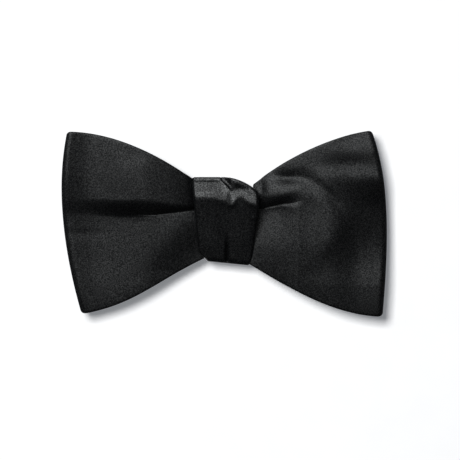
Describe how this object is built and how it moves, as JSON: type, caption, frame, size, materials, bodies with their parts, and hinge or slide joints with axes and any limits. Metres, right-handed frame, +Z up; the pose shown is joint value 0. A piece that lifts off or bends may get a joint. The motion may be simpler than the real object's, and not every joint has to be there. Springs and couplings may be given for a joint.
{
  "type": "clip-on butterfly bow tie",
  "caption": "Pre-tied butterfly bow tie in black satin: looped front bow, flat rear bow, wrapped knot, and a steel collar clip with hinged levers behind.",
  "frame": {"origin": "middle of the flat back of the knot band, which rests on the shirt collar", "axes": "as worn, seen from the front: +X to the viewer's right along the bow's length, +Y backwards towards the collar, +Z up"},
  "size_m": [0.1216, 0.0195, 0.069],
  "materials": {
    "bow_satin": "black satin weave, soft sheen",
    "lining_satin": "black satin weave, inner side of the loops",
    "knot_satin": "black satin weave with fine lengthwise grain",
    "interlining": "dark napped interlining",
    "thread": "twisted black sewing thread",
    "clip_steel": "nickel-plated spring steel",
    "pin_steel": "plain drawn steel"
  },
  "bodies": {
    "bow": {"front_bow_outer_satin": "bow_satin", "front_bow_interlining": "interlining", "front_bow_inner_satin": "lining_satin", "rear_bow_front_satin": "bow_satin", "rear_bow_interlining": "interlining", "rear_bow_back_satin": "bow_satin", "waist_binding_thread": "thread", "knot_satin_wrap": "knot_satin", "knot_interlining": "interlining", "knot_closing_stitches": "thread", "clip_base_plate": "clip_steel", "left_hinge_pin": "pin_steel", "right_hinge_pin": "pin_steel"},
    "left_lever": {"left_clip_lever": "clip_steel"},
    "right_lever": {"right_clip_lever": "clip_steel"}
  },
  "joints": [
    {"name": "left_lever_hinge", "type": "hinge", "parent": "bow", "child": "left_lever", "pos_m": [-0.025, 0.0007, 0], "axis": [0, 0, 1], "range_deg": [0, 100]},
    {"name": "right_lever_hinge", "type": "hinge", "parent": "bow", "child": "right_lever", "pos_m": [0.025, 0.0007, 0], "axis": [0, 0, -1], "range_deg": [0, 100]}
  ]
}
